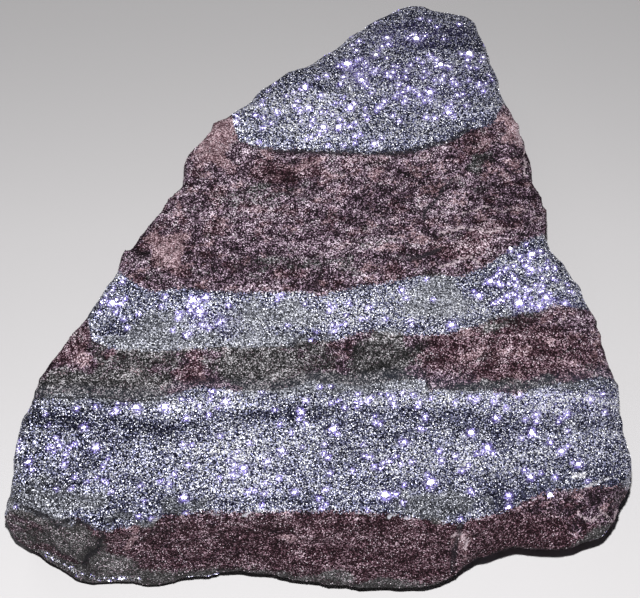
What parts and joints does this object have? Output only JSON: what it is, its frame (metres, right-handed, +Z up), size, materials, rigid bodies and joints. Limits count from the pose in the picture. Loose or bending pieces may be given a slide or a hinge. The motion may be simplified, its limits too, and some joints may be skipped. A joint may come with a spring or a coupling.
{
  "type": "specular hematite",
  "caption": "Broken slab of banded specular hematite and red jasper, a mineral hand specimen that rests on its flat underside.",
  "frame": {"origin": "centre of the bounding box's base, on the surface that the slab rests on", "axes": "+Z up out of the banded top face, +Y away from the jasper front face towards the narrow end, +X to the right"},
  "size_m": [0.1212, 0.1274, 0.0261],
  "materials": {
    "banded_stone": "glittering blue-gray hematite bands between rough dark red jasper bands"
  },
  "bodies": {
    "root": {"banded_stone": "banded_stone"}
  },
  "joints": []
}
